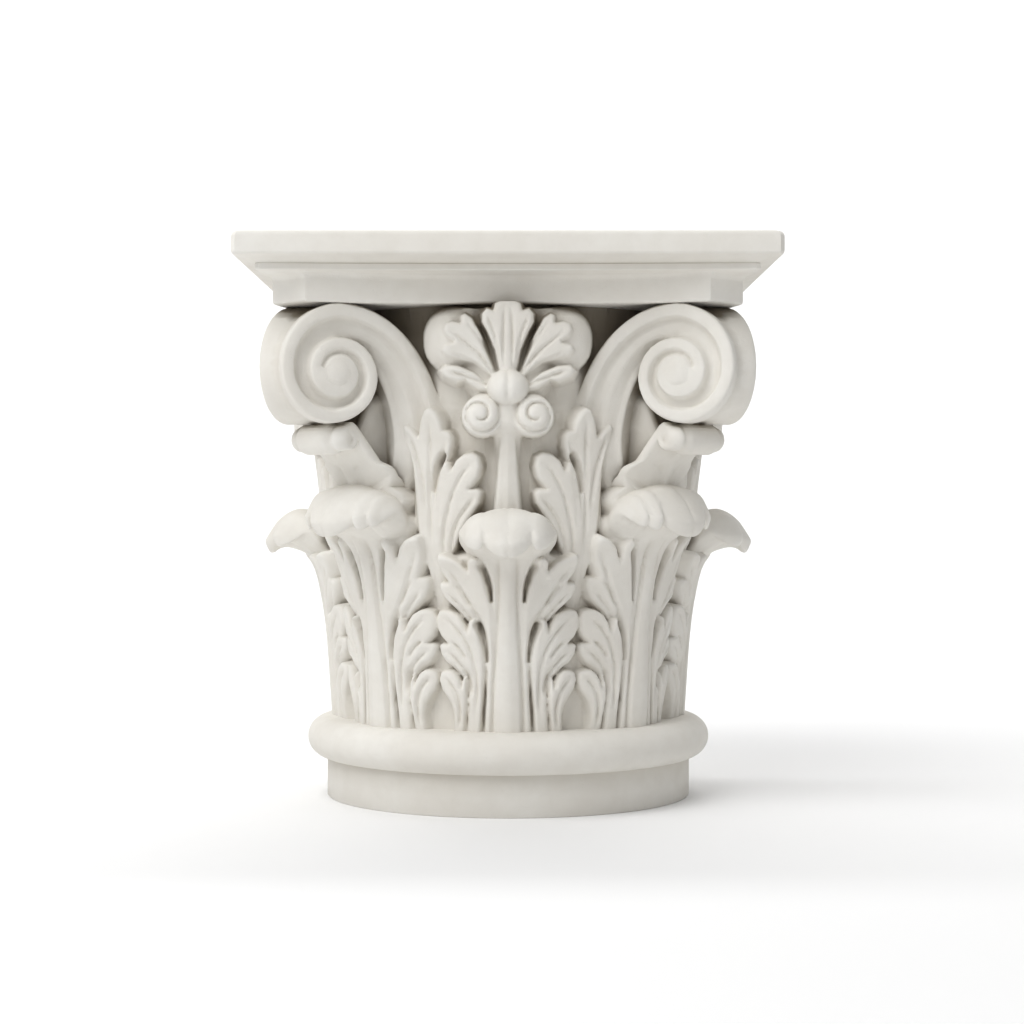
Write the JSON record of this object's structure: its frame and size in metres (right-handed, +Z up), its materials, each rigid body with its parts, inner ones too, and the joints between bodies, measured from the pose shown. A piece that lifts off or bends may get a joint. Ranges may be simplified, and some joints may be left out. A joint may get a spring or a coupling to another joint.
{
  "type": "corinthian capital",
  "caption": "Corinthian capital cast in plaster: a round torus foot, a bell wrapped in acanthus leaves, corner volutes, a palmette on each face and a square moulded abacus.",
  "frame": {"origin": "centre of the round underside, at the lowest point of the capital", "axes": "+Z up through the middle of the abacus; -Y is the front face in the picture; +X is the picture's right"},
  "size_m": [0.38, 0.38, 0.411],
  "materials": {
    "plaster": null
  },
  "bodies": {
    "root": {"corinthian_capital": "plaster"}
  },
  "joints": []
}
